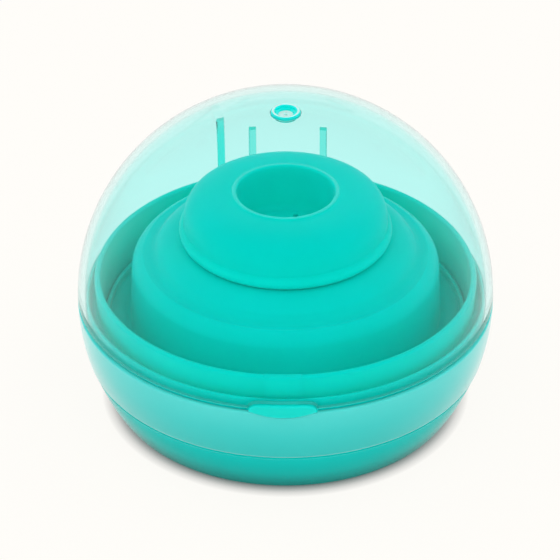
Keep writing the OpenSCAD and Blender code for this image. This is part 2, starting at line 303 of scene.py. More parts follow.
def hinge_bore(play: float) -> Piece:
    """Returns the body that bores the hinge for its pin, with some play in the radius."""
    return rod("bore", PIN_R + play, (HINGE_Y, 0), -BORE_HALF, BORE_HALF, ALONG_X)


class Join(Enum):
    """Ways in which a tool body is put to a piece."""

    CUT = "DIFFERENCE"
    ADD = "UNION"
    KEEP = "INTERSECT"


def work(piece: Piece, how: Join, tools: Sequence[Piece]) -> None:
    """Cuts or joins a piece with other bodies, which are used up.

    Args:
        piece: The piece to be worked.
        how: Whether the bodies are cut out of it, added to it or kept in common.
        tools: The bodies.
    """
    for tool in tools:
        modifier = piece.modifiers.new("work", "BOOLEAN")
        modifier.operation = how.value
        modifier.solver = "EXACT"
        modifier.object = tool
        graph = bpy.context.evaluated_depsgraph_get()
        mesh = bpy.data.meshes.new_from_object(piece.evaluated_get(graph))
        piece.modifiers.clear()
        old, name = piece.data, piece.data.name
        piece.data = mesh
        bpy.data.meshes.remove(old)
        mesh.name = name
        used = tool.data
        bpy.data.objects.remove(tool)
        bpy.data.meshes.remove(used)


def smooth(piece: Piece, angle: float = 32.0) -> None:
    """Shades a piece smooth, with sharp edges where it turns by more than an angle in degrees."""
    bm = bmesh.new()
    bm.from_mesh(piece.data)
    bmesh.ops.remove_doubles(bm, verts=bm.verts, dist=MERGE_M)
    bmesh.ops.dissolve_degenerate(bm, edges=bm.edges, dist=SLIVER_M)
    bm.to_mesh(piece.data)
    bm.free()
    piece.data.shade_smooth()
    piece.data.set_sharp_from_angle(angle=math.radians(angle))


# ----------------------------------------------------------------------------------------------
# Finishes
# ----------------------------------------------------------------------------------------------


def linear(code: str) -> Colour:
    """Turns an sRGB hex colour to linear.

    Args:
        code: Colour such as "#04e5d6".

    Returns:
        Red, green and blue in linear light, and full alpha.
    """
    parts = [int(code[i : i + 2], 16) / 255 for i in (1, 3, 5)]
    red, green, blue = (c / 12.92 if c <= 0.04045 else ((c + 0.055) / 1.055) ** 2.4 for c in parts)
    return (red, green, blue, 1.0)


def add(tree: Tree, kind: str, settings: dict[str, Any] | None = None,
        inputs: dict[str | int, Any] | None = None,
        stops: Sequence[tuple[float, str]] = ()) -> Node:
    """Adds a node with its settings and links.

    Args:
        tree: The node tree.
        kind: Type name of the node.
        settings: Its properties, by name.
        inputs: Its sockets by name or number, each with a value or with the socket that feeds it.
        stops: Place and hex colour of each stop, in order, where the node is a colour ramp.

    Returns:
        The node.
    """
    node = tree.nodes.new(kind)
    for key, value in (settings or {}).items():
        setattr(node, key, value)
    for key, value in (inputs or {}).items():
        if isinstance(value, Socket):
            tree.links.new(value, node.inputs[key])
        else:
            node.inputs[key].default_value = value
    while stops and len(node.color_ramp.elements) < len(stops):
        node.color_ramp.elements.new(1.0)
    for i, (place, code) in enumerate(stops):
        node.color_ramp.elements[i].position = place
        node.color_ramp.elements[i].color = linear(code)
    return node


def fresh_material(name: str) -> tuple[Material, Tree, Node]:
    """Makes an empty node material.

    Args:
        name: Its name.

    Returns:
        The material, its tree and its output node.
    """
    material = bpy.data.materials.new(name)
    material.use_nodes = True
    tree = material.node_tree
    tree.nodes.clear()
    return material, tree, add(tree, "ShaderNodeOutputMaterial")


def cloud(tree: Tree, size_mm: float, detail: float = 2.0) -> Socket:
    """Returns a soft cloud that is fixed to the piece, with lumps of a size in millimetres."""
    place = add(tree, "ShaderNodeTexCoord").outputs["Object"]
    noise = add(tree, "ShaderNodeTexNoise", {"noise_dimensions": "3D"},
                {"Vector": place, "Scale": 1 / (size_mm * MM), "Detail": detail, "Roughness": 0.5})
    return noise.outputs["Fac"]


def patchy(tree: Tree, size_mm: float, low: float, high: float, detail: float = 3.0) -> Socket:
    """Returns a value that goes from low to high in patches of a size in millimetres."""
    spread = add(tree, "ShaderNodeMapRange", {},
                 {"Value": cloud(tree, size_mm, detail), "From Min": CLOUD_LOW,
                  "From Max": CLOUD_HIGH, "To Min": low, "To Max": high})
    return spread.outputs["Result"]


def uneven(tree: Tree, size_mm: float, deep_mm: float) -> Socket:
    """Returns the normal of a surface with lumps of a size and a depth in millimetres."""
    bump = add(tree, "ShaderNodeBump", {},
               {"Height": cloud(tree, size_mm, 1.0), "Strength": BUMP_STRENGTH,
                "Distance": deep_mm * MM})
    return bump.outputs["Normal"]


@dataclass(frozen=True)
class MouldedPolypropylene:
    """Solid-coloured polypropylene, injection moulded in a finely eroded tool.

    It gives the eye a soft satin that hardly mirrors, with a pale sheen only where the surface
    turns away. Light sinks into it and comes back out, which brightens thin walls and evens out
    the hollows. Polypropylene has an IOR of about 1.49, and such a satin has a roughness of about
    0.35 to 0.5. The photograph's plastic mirrors less than that IOR gives, so the mirror is low.
    """

    name: str
    colour: str
    deep: str
    gleam: str = "#2f9f99"
    rough_low: float = 0.34
    rough_high: float = 0.44
    ior: float = 1.49
    mirror: float = 0.2
    glow: float = 0.80
    glow_mm: float = 3.2
    glow_reach: tuple[float, float, float] = (0.25, 1.0, 0.9)
    sheen: float = 0.05
    sheen_rough: float = 0.25
    sheen_tint: str = "#d6fbf7"
    cloud_mm: float = 26.0
    smear_mm: float = 7.0
    grain_mm: float = 0.55
    grain_deep_mm: float = 0.010

    def make(self) -> Material:
        """Returns the material."""
        material, tree, out = fresh_material(self.name)
        colour = add(tree, "ShaderNodeValToRGB", {}, {"Fac": cloud(tree, self.cloud_mm)},
                     stops=[(CLOUD_LOW, self.deep), (CLOUD_HIGH, self.colour)]).outputs["Color"]
        rough = patchy(tree, self.smear_mm, self.rough_low, self.rough_high)
        # The tool's eroded grain is 0.1 mm across. It is drawn coarser so that it shows.
        grain = uneven(tree, self.grain_mm, self.grain_deep_mm)
        shader = add(tree, "ShaderNodeBsdfPrincipled", {"subsurface_method": "RANDOM_WALK"},
                     {"Base Color": colour, "Roughness": rough, "IOR": self.ior, "Normal": grain,
                      "Specular IOR Level": self.mirror, "Specular Tint": linear(self.gleam),
                      "Subsurface Weight": self.glow, "Subsurface Radius": self.glow_reach,
                      "Subsurface Scale": self.glow_mm * MM,
                      "Sheen Weight": self.sheen, "Sheen Roughness": self.sheen_rough,
                      "Sheen Tint": linear(self.sheen_tint)})
        tree.links.new(shader.outputs["BSDF"], out.inputs["Surface"])
        return material


@dataclass(frozen=True)
class ClearPolypropylene:
    """Clarified polypropylene in a polished tool, faintly aqua all through.

    It gives the eye a clear wall that turns pale and hazy at its outline, and a thick section, such
    as a rib, takes a deeper colour. The real IOR is about 1.49 and such a polish has a roughness of
    0.02 to 0.06. The wall in the photograph hardly mirrors and its edges stay light, which an IOR
    of 1.28 gives.
    """

    name: str
    tint: str
    lamp_tint: str
    gleam: str = "#4c9a96"
    ior: float = 1.28
    rough_low: float = 0.015
    rough_high: float = 0.04
    haze: float = 0.16
    haze_rough: float = 0.26
    haze_tint: str = "#f2f6ff"
    smear_mm: float = 14.0
    wave_mm: float = 30.0
    wave_deep_mm: float = 0.002

    def make(self) -> Material:
        """Returns the material."""
        material, tree, out = fresh_material(self.name)
        rough = patchy(tree, self.smear_mm, self.rough_low, self.rough_high)
        wave = uneven(tree, self.wave_mm, self.wave_deep_mm)
        wall = add(tree, "ShaderNodeBsdfPrincipled", {},
                   {"Base Color": linear(self.tint), "Roughness": rough, "IOR": self.ior,
                    "Transmission Weight": 1.0, "Specular Tint": linear(self.gleam),
                    "Normal": wave, "Sheen Weight": self.haze,
                    "Sheen Roughness": self.haze_rough, "Sheen Tint": linear(self.haze_tint)})
        # The lamps shine straight through the wall and take on a little of its colour
        path = add(tree, "ShaderNodeLightPath")
        open_wall = add(tree, "ShaderNodeBsdfTransparent", {}, {"Color": linear(self.lamp_tint)})
        both = add(tree, "ShaderNodeMixShader", {},
                   {"Fac": path.outputs["Is Shadow Ray"], 1: wall.outputs["BSDF"],
                    2: open_wall.outputs["BSDF"]})
        tree.links.new(both.outputs["Shader"], out.inputs["Surface"])
        return material


@dataclass(frozen=True)
class MilkyPolypropylene:
    """Translucent polypropylene with a polished outside, over the teal that shines through it.

    It gives the eye an aqua under a smooth gloss that turns pale where the wall is seen at a slant
    and its milk scatters the room's white. Its colour is set in bands by height and darkens
    downwards: partly the teal behind showing through, and partly painted shade, which in the foot
    ends in a painted contact shadow at the floor. IOR about 1.49, roughness 0.15 to 0.25.
    """

    name: str
    tint_and_shade_bands: tuple[tuple[float, str], ...]
    gleam: str = "#4fa8a4"
    rough_low: float = 0.16
    rough_high: float = 0.24
    ior: float = 1.49
    mirror: float = 0.3
    glow: float = 0.35
    glow_mm: float = 3.0
    glow_reach: tuple[float, float, float] = (0.6, 1.0, 1.0)
    sheen: float = 0.30
    sheen_rough: float = 0.30
    sheen_tint: str = "#eef8f8"
    smear_mm: float = 9.0
    cloud_mm: float = 20.0
    cloud_share: float = 0.03

    def make(self) -> Material:
        """Returns the material."""
        material, tree, out = fresh_material(self.name)
        # Colour by height, darker downwards: partly the teal behind, partly painted shade
        low, high = self.tint_and_shade_bands[0][0], self.tint_and_shade_bands[-1][0]
        place = add(tree, "ShaderNodeTexCoord").outputs["Object"]
        height = add(tree, "ShaderNodeSeparateXYZ", {}, {"Vector": place}).outputs["Z"]
        level = add(tree, "ShaderNodeMapRange", {},
                    {"Value": height, "From Min": (SEAM + low) * MM,
                     "From Max": (SEAM + high) * MM})
        lump = patchy(tree, self.cloud_mm, -self.cloud_share, self.cloud_share, detail=2.0)
        mixed = add(tree, "ShaderNodeMath", {"operation": "ADD"},
                    {0: level.outputs["Result"], 1: lump})
        colour = add(tree, "ShaderNodeValToRGB", {}, {"Fac": mixed.outputs[0]},
                     stops=[((z - low) / (high - low), code) for z, code in self.tint_and_shade_bands])
        rough = patchy(tree, self.smear_mm, self.rough_low, self.rough_high)
        shader = add(tree, "ShaderNodeBsdfPrincipled", {"subsurface_method": "RANDOM_WALK"},
                     {"Base Color": colour.outputs["Color"], "Roughness": rough, "IOR": self.ior,
                      "Specular IOR Level": self.mirror, "Specular Tint": linear(self.gleam),
                      "Subsurface Weight": self.glow, "Subsurface Radius": self.glow_reach,
                      "Subsurface Scale": self.glow_mm * MM,
                      "Sheen Weight": self.sheen, "Sheen Roughness": self.sheen_rough,
                      "Sheen Tint": linear(self.sheen_tint)})
        tree.links.new(shader.outputs["BSDF"], out.inputs["Surface"])
        return material


class Finish(Enum):
    """The finishes of the case's pieces."""

    TEAL = MouldedPolypropylene("teal_polypropylene_moulded", "#02f6ea", "#02f2e5")
    # Painted highlight: the bead round the well's mouth is painted paler on its crest
    EDGE = MouldedPolypropylene(
        "teal_polypropylene_painted_bead_highlight", "#52f4ea", "#46f1e6", gleam="#9fe4e0",
        rough_low=0.18, rough_high=0.24, mirror=0.6)
    # Painted shade: the tongue is the bowl's teal painted darker, as the front lamps light it more
    SHADED_TONGUE = MouldedPolypropylene(
        "teal_polypropylene_tongue_painted_shade", "#04e5d9", "#04e1d5", gleam="#9fe4e0",
        rough_low=0.20, rough_high=0.28, mirror=0.4)
    # Painted shade: the foot darkens in bands to a painted contact shadow at the floor
    FOOT = MilkyPolypropylene(
        "teal_polypropylene_foot", ((-34.5, "#028680"), (-26.0, "#02bbb5"), (-18.0, "#0ccfc9")),
        rough_low=0.14, rough_high=0.20, mirror=0.03, glow=0.15, sheen_rough=0.22)
    # The shell's bands: the teal behind showing through, and painted shade lower down
    SHELL = MilkyPolypropylene(
        "milky_polypropylene_shell", ((-18.0, "#06c6c2"), (-9.0, "#3ad4d1"), (0.0, "#5ae2df")),
        sheen=1.0, sheen_rough=0.36)
    CLEAR = ClearPolypropylene("clear_polypropylene_polished", "#dcfefd", "#f8fffe")
    RIB = ClearPolypropylene(
        "clear_polypropylene_rib", "#4be2d5", "#c8fbf7", ior=1.1,
        rough_low=0.12, rough_high=0.18, haze=0.0)
    TALL_RIB = ClearPolypropylene(
        "clear_polypropylene_thick_rib", "#14dbcb", "#c8fbf7",
        rough_low=0.10, rough_high=0.16, haze=0.0)
    # Seen end on, the clear plastic gathers its colour over a long way and is not see-through
    LID_EDGE = MouldedPolypropylene(
        "translucent_polypropylene_edge", "#3fe0d6", "#35dbd0",
        rough_low=0.20, rough_high=0.28, glow=0.5, glow_mm=1.2)
    VENT = MouldedPolypropylene(
        "teal_vent_polypropylene", "#02f2e8", "#02ecdf", gleam="#bfe8e4",
        rough_low=0.10, rough_high=0.16, mirror=0.5)
    # Painted reflection on the ring's crest, and painted light on the web for the room behind it
    VENT_REFLECTION = MouldedPolypropylene(
        "vent_painted_reflection", "#c6faf5", "#b4f6ef", gleam="#dff4f2",
        rough_low=0.08, rough_high=0.12, mirror=0.6)
    PIN = MouldedPolypropylene(
        "natural_polypropylene_pin", "#e6f6f5", "#dcf1f0", gleam="#c8d8d8",
        rough_low=0.25, rough_high=0.35, glow=0.4)

    def material(self) -> Material:
        """Returns this finish's material, made when it is first asked for."""
        return bpy.data.materials.get(self.value.name) or self.value.make()

    def on(self, piece: Piece) -> None:
        """Gives a whole piece this finish."""
        piece.data.materials.clear()
        piece.data.materials.append(self.material())

    def on_faces(self, piece: Piece, chosen: Callable[[Vector], bool]) -> None:
        """Gives this finish to some faces of a piece.

        Args:
            piece: The piece.
            chosen: Test of a face's middle, in millimetres from the ball's middle.
        """
        piece.data.materials.append(self.material())
        number = len(piece.data.materials) - 1
        for face in piece.data.polygons:
            if chosen(face.center / MM - Vector((0, 0, SEAM))):
                face.material_index = number


# ----------------------------------------------------------------------------------------------
# The case
# ----------------------------------------------------------------------------------------------


@dataclass
class Tongue:
    """The tongue at the front of the seam, part of the bowl's flange.

    Its lower edge hangs down like a shallow bell, and its upper edge is nearly straight.
    """

    width: float = 19.6
    drop: float = 1.7
    up: float = 2.6
    out_r: float = 62.58
    in_r: float = 60.4
    gap: float = 0.3
    flat: float = 2.4
    ends: float = 1.3
    square: float = 7.0
    soft: float = 0.45
    # Places of the columns near each end, and of the rows as shares of a column's height
    near: tuple[float, ...] = (0.04, 0.12, 0.25, 0.45, 0.9, 1.6)
    rows: tuple[float, ...] = (
        0.0, 0.02, 0.05, 0.1, 0.2, 0.35, 0.5, 0.65, 0.8, 0.9, 0.95, 0.98, 1.0)
    columns: int = 30
    notch_steps: int = 60
    notch_reach: Point = (40.0, 80.0)

    def low_edge(self, x: float, gap: float = 0.0) -> float:
        """Returns the height of the lower edge at a distance from the middle, set out by a gap."""
        u = min(1.0, abs(x) / (self.width / 2 + gap))
        return -(self.drop + gap) * (1 - u**self.flat) ** self.ends

    def high_edge(self, x: float, gap: float = 0.0) -> float:
        """Returns the height of the upper edge at a distance from the middle, set out by a gap."""
        u = min(1.0, abs(x) / (self.width / 2 + gap))
        return (self.up + gap) * math.sqrt(1 - u**self.square)

    def cutter(self) -> Piece:
        """Returns the body that cuts the tongue's notch, with its gap all round."""
        half, steps = self.width / 2 + self.gap, self.notch_steps
        xs = [-half * math.cos(math.pi * i / steps) for i in range(steps + 1)]
        low = [(x, self.low_edge(x, self.gap)) for x in xs]
        high = [(x, self.high_edge(x, self.gap)) for x in reversed(xs[1:-1])]
        return prism("notch", [*low, *high], *self.notch_reach, TO_FRONT)

    def skin(self, x: float, z: float, radius: float) -> Vector:
        """Returns the point of a ball's front at a distance from the middle and a height."""
        return Vector((x, -math.sqrt(radius * radius - x * x - z * z), z))

    def sink(self, edge: float) -> float:
        """Returns how far the outer side is set in, at a distance from its edge, to round it."""
        short = max(0.0, self.soft - edge)
        return self.soft - math.sqrt(max(0.0, self.soft**2 - short**2))

    def build(self) -> Piece:
        """Returns the tongue, with its outer edge rounded all round."""
        half, last = self.width / 2, self.near[-1]
        middle = self.width - 2 * last
        xs = [-half + d for d in self.near]
        xs += [-half + last + middle * i / self.columns for i in range(1, self.columns)]
        xs += [half - d for d in reversed(self.near)]
        bm = bmesh.new()
        outer: list[list[bmesh.types.BMVert]] = []
        inner: list[list[bmesh.types.BMVert]] = []
        for x in xs:
            low, high = self.low_edge(x), self.high_edge(x)
            heights = [low + (high - low) * share for share in self.rows]
            sinks = [self.sink(min(half - abs(x), z - low, high - z)) for z in heights]
            outer.append([bm.verts.new(self.skin(x, z, self.out_r - sink))
                          for z, sink in zip(heights, sinks)])
            inner.append([bm.verts.new(self.skin(x, z, self.in_r)) for z in heights])
        columns, rows = range(len(xs) - 1), range(len(self.rows) - 1)
        for i in columns:
            for j in rows:
                for side in (outer, inner):
                    bm.faces.new([side[i][j], side[i + 1][j], side[i + 1][j + 1], side[i][j + 1]])
            for j in (0, -1):
                bm.faces.new([outer[i][j], outer[i + 1][j], inner[i + 1][j], inner[i][j]])
        for i in (0, -1):
            for j in rows:
                bm.faces.new([outer[i][j], outer[i][j + 1], inner[i][j + 1], inner[i][j]])
        return finish_mesh(bm, "tongue")


@dataclass
class Vent:
    """The teal ring in the lid's top, with its thin web and its pinhole."""

    hole_r: float = 0.5
    web_r: float = 2.3
    web_low: float = 60.65
    web_top: float = 61.34
    neck_r: float = 3.5
    neck_low: float = 59.65
    seat_r: float = 4.39
    seat_z: float = 61.35
    bead_centre: Point = (3.7, 61.995)
    bead_r: float = 0.69
    step_r: float = 3.0
    step_z: float = 61.94
    # The web and the bead's crest are painted pale inside this radius and above this height
    pale_r: float = 2.2
    pale_z: float = 62.635
    segments: int = 128

    def build(self) -> Piece:
        """Returns the ring."""
        points = outline([
            Bend(self.hole_r, self.web_low, 0.12), Bend(self.web_r, self.web_low, 0.05),
            Bend(self.web_r, self.neck_low, 0.15), Bend(self.neck_r, self.neck_low, 0.15),
            Bend(self.neck_r, self.seat_z, 0.05), Bend(self.seat_r, self.seat_z, 0.1),
            arc(self.bead_centre, self.bead_r, 0, 180, 14),
            Bend(self.step_r, self.step_z, 0.05), Bend(self.web_r, self.step_z, 0.2),
            Bend(self.web_r, self.web_top, 0.15), Bend(self.hole_r, self.web_top, 0.12),
        ])
        return lathe("vent_ring_turned", points, self.segments)

    def on_painted_reflection(self, spot: Vector) -> bool:
        """Tells whether a place is on the web or the bead's crest, which are painted pale."""
        return math.hypot(spot.x, spot.y) < self.pale_r or spot.z > self.pale_z


@dataclass
class Lid:
    """The clear half ball with its hinge ribs, the tall rib inside it, the vent and the pin."""

    low: float = 0.75
    steps: int = 88
    vent_hole_r: float = 3.6
    vent_seat_r: float = 4.5
    vent_seat_z: float = 61.344
    rib_x: float = 11.3
    rib_w: float = 2.3
    rib_top: float = 24.5
    rib_out: float = 1.3
    rib_root_r: float = 60.3
    rib_soft: float = 0.3
    gusset_a: float = 22.0
    tall_low: float = 3.6
    tall_top: float = 35.0
    tall_in_r: float = 58.5
    tall_out_r: float = 60.7
    tall_x: float = -20.8
    slab: tuple[Point, ...] = ((20.0, -5.0), (80.0, -5.0), (80.0, 60.0), (20.0, 60.0))
    pin_play: float = 0.02
    pin_head: float = 0.8
    pin_head_r: float = 1.9
    edge_z: float = 3.2
    tongue: Tongue = field(default_factory=Tongue)
    vent: Vent = field(default_factory=Vent)

    def dome(self) -> Piece:
        """Returns the lid with all that is moulded on it."""
        out_top = math.degrees(math.acos(self.vent_seat_r / BALL_R))
        in_top = math.degrees(math.acos(self.vent_hole_r / LID_IN_R))
        out_low, in_low = polar(BALL_R, self.low), polar(LID_IN_R, self.low)
        points = outline([
            Bend(section(BALL_R, self.low), self.low, 0.6),
            arc((0, 0), BALL_R, out_low + 1, out_top - 0.6, self.steps),
            Bend(self.vent_seat_r, section(BALL_R, self.vent_seat_r), 0.2),
            Bend(self.vent_seat_r, self.vent_seat_z, 0.1),
            Bend(self.vent_hole_r, self.vent_seat_z, 0.15),
            Bend(self.vent_hole_r, section(LID_IN_R, self.vent_hole_r), 0.2),
            arc((0, 0), LID_IN_R, in_top - 0.6, in_low + 1, self.steps),
            Bend(section(LID_IN_R, self.low), self.low, 0.5),
        ])
        piece = lathe("lid_clear_dome", points)
        work(piece, Join.ADD, [self.hinge_rib(-1), self.hinge_rib(1), self.tall_rib()])
        work(piece, Join.CUT, [hinge_bore(self.pin_play), self.tongue.cutter()])
        return piece

    def hinge_rib(self, side: int) -> Piece:
        """Returns the lug and gusset on one side of the hinge."""
        top_a, low_a = polar(self.rib_root_r, self.rib_top), polar(self.rib_root_r, self.low)
        foot = 180 - polar(KNUCKLE_R, self.low)
        points = [
            *arc((0, 0), self.rib_root_r, low_a, top_a, 20),
            (section(BALL_R, self.rib_top) + self.rib_out, self.rib_top),
            *arc((HINGE_Y, 0), KNUCKLE_R, self.gusset_a, foot - 360, 36),
        ]
        x, half = side * self.rib_x, self.rib_w / 2
        return prism("hinge_rib", points, x - half, x + half, ALONG_X, self.rib_soft)

    def tall_rib(self) -> Piece:
        """Returns the rib inside the lid, to the left of the hinge."""
        out_r, in_r, ends = self.tall_out_r, self.tall_in_r, (self.tall_low, self.tall_top)
        ring = lathe("tall_rib", [
            *arc((0, 0), out_r, *(polar(out_r, z) for z in ends), 40),
            *arc((0, 0), in_r, *(polar(in_r, z) for z in reversed(ends)), 40),
        ])
        low, high = self.tall_x - self.rib_w / 2, self.tall_x + self.rib_w / 2
        work(ring, Join.KEEP, [prism("slab", self.slab, low, high, ALONG_X)])
        return ring

    def pin(self) -> Piece:
        """Returns the hinge pin with its head."""
        end, head_r = self.rib_x + self.rib_w / 2, self.pin_head_r
        points = outline([
            Bend(0, -end), Bend(PIN_R, -end, 0.25), Bend(PIN_R, end, 0.1), Bend(head_r, end, 0.1),
            Bend(head_r, end + self.pin_head, 0.35), Bend(0, end + self.pin_head),
        ], closed=False)
        piece = lathe("hinge_pin_turned", points, 64)
        lie = Matrix.Rotation(math.radians(90), 4, "Y") @ Matrix.Translation((0, 0, -SEAM * MM))
        piece.data.transform(Matrix.Translation((0, HINGE_Y * MM, SEAM * MM)) @ lie)
        return piece

    def on_hinge_rib(self, spot: Vector) -> bool:
        """Tells whether a place is outside the ball, on the ribs of the hinge."""
        return spot.length > BALL_R + 0.03

    def on_tall_rib(self, spot: Vector) -> bool:
        """Tells whether a place is on the rib inside the dome."""
        return spot.length < LID_IN_R - 0.03

    def on_end_face(self, spot: Vector) -> bool:
        """Tells whether a place is on an end of the tall rib or on the lid's lower edge."""
        if self.on_tall_rib(spot):
            return not self.tall_low + 0.05 < spot.z < self.tall_top - 0.05
        return LID_IN_R + 0.04 < spot.length < BALL_R - 0.04 and spot.z < self.edge_z


@dataclass
class Base:
    """The milky shell, the teal foot under it, and the water bowl that hangs in them."""

    shell_top: float = -0.45
    parting: float = -18.0
    parting_in: float = 0.3
    parting_high: float = 0.6
    foot_r: float = 61.7
    foot_wall: float = 2.0
    foot_turn: Point = (49.257, -31.0)
    foot_turn_a: float = -32.184
    foot_round: float = 3.5
    groove: Point = (30.5, 33.5)
    groove_deep: float = 0.8
    spigot: Point = (55.646, 57.246)
    spigot_up: float = 4.0
    spigot_down: float = 2.0
    web_x: float = 9.85
    web_low: float = -9.5
    web_root_r: float = 60.5
    web_soft: float = 0.3
    web_a: float = -35.0
    pin_play: float = 0.05
    bowl_low: float = -25.8
    bowl_turn: Point = (44.5, -18.0)
    bowl_round: float = 7.8
    bowl_wall: float = 1.8
    haunch: tuple[Point, Point] = ((53.3, -11.4), (56.2, -10.5))
    wall_foot_r: float = 56.473
    wall_top_r: float = 56.497
    ledge: Point = (51.5, 54.4)
    ledge_z: float = -9.6
    rim_centre: Point = (55.8, 7.9)
    rim_r: float = 0.9
    flange_half: float = 0.45
    flange_r: float = 61.0
    upstand: Point = (58.625, 59.525)
    upstand_z: float = 3.0
    grip_w: float = 10.7
    grip_r: Point = (55.8, 57.7)
    grip_z: Point = (0.2, 9.4)
    grip_soft: float = 0.35
    tongue: Tongue = field(default_factory=Tongue)

    def shell(self) -> Piece:
        """Returns the milky shell with the hinge's middle knuckle."""
        low, top, in_r = self.parting, self.shell_top, SHELL_IN_R
        out_low, out_top = section(BALL_R, low), section(BALL_R, top)
        points = outline([
            Bend(out_low - self.parting_in, low, 0.15),
            Bend(out_low + 0.15, low + self.parting_high, 0.2),
            arc((0, 0), BALL_R, polar(BALL_R, low + 1.0), polar(BALL_R, top) - 0.9, 30),
            Bend(out_top, top, 0.7), Bend(section(in_r, top), top, 0.25),
            arc((0, 0), in_r, polar(in_r, top) - 0.6, polar(in_r, low + 0.6), 30),
            Bend(section(in_r, low), low, 0.2),
        ])
        piece = lathe("base_frosted_shell", points)
        work(piece, Join.ADD, [self.hinge_web()])
        work(piece, Join.CUT, [hinge_bore(self.pin_play), self.tongue.cutter()])
        return piece

    def hinge_web(self) -> Piece:
        """Returns the web and knuckle between the lid's lugs."""
        foot = 180 + polar(KNUCKLE_R, -self.shell_top)
        root = self.web_root_r
        points = [
            *arc((0, 0), root, polar(root, self.shell_top - 0.3), polar(root, self.web_low), 12),
            (section(BALL_R, self.web_low), self.web_low),
            *arc((HINGE_Y, 0), KNUCKLE_R, self.web_a, foot, 36),
        ]
        return prism("hinge_web", points, -self.web_x, self.web_x, ALONG_X, self.web_soft)

    def foot(self) -> Piece:
        """Returns the teal foot with its ring groove and the spigot inside the shell."""
        wall, low, turn, turn_a = self.foot_wall, self.parting, self.foot_turn, self.foot_turn_a
        top_r, in_r = section(self.foot_r, low), self.foot_r - wall
        roof = self.groove_deep - SEAM
        points = outline([
            Bend(0, -SEAM), Bend(self.groove[0], -SEAM, 0.25), Bend(self.groove[0], roof, 0.25),
            Bend(self.groove[1], roof, 0.25), Bend(self.groove[1], -SEAM, 0.25),
            arc(turn, self.foot_round, -90, turn_a, 24),
            arc((0, 0), self.foot_r, turn_a + 0.7, polar(self.foot_r, low) - 0.8, 24),
            Bend(top_r, low - self.parting_high, 0.2), Bend(top_r - self.parting_in, low, 0.15),
            Bend(self.spigot[1], low, 0.1), Bend(self.spigot[1], low + self.spigot_up, 0.3),
            Bend(self.spigot[0], low + self.spigot_up, 0.3),
            Bend(self.spigot[0], low - self.spigot_down, 0.2),
            arc((0, 0), in_r, polar(in_r, low - self.spigot_down), turn_a + 0.7, 20),
            arc(turn, self.foot_round - wall, turn_a, -90, 16),
            Bend(0, wall - SEAM),
        ], closed=False)
        return lathe("base_teal_foot", points)

    def bowl(self) -> Piece:
        """Returns the bowl with its flange, upstand, grip tab and tongue."""
        half, turn, (stand_in, stand_out) = self.flange_half, self.bowl_turn, self.upstand
        points = outline([
            Bend(0, self.bowl_low),
            arc(turn, self.bowl_round, -90, 0, 20),
            Bend(*self.haunch[0], 0.5), Bend(*self.haunch[1], 0.8),
            Bend(self.wall_foot_r, -half, 0.3),
            Bend(self.flange_r, -half, 0.2), Bend(self.flange_r, half, 0.2),
            Bend(stand_out, half, 0.25), Bend(stand_out, self.upstand_z, 0.4),
            Bend(stand_in, self.upstand_z, 0.4), Bend(stand_in, half, 0.3),
            Bend(self.wall_top_r, half, 0.4),
            arc(self.rim_centre, self.rim_r, 0, 180, 14),
            Bend(self.ledge[1], self.ledge_z, 0.25), Bend(self.ledge[0], self.ledge_z, 0.35),
            arc(turn, self.bowl_round - self.bowl_wall, 0, -90, 20),
            Bend(0, self.bowl_low + self.bowl_wall),
        ], closed=False)
        piece = lathe("bowl_teal", points)
        work(piece, Join.ADD, [self.grip(), self.tongue.build()])
        return piece

    def grip(self) -> Piece:
        """Returns the grip tab on the front of the bowl's wall."""
        in_r, out_r = self.grip_r
        side = math.degrees(math.asin(self.grip_w / 2 / out_r))
        flat = [
            *arc((0, 0), out_r, -90 - side, -90 + side, 12),
            *arc((0, 0), in_r, -90 + side, -90 - side, 12),
        ]
        return prism("grip", flat, *self.grip_z, Matrix.Identity(4), self.grip_soft)

    def on_tongue(self, spot: Vector) -> bool:
        """Tells whether a place is on the tongue, which reaches out past the flange."""
        return spot.length > self.flange_r + 0.3


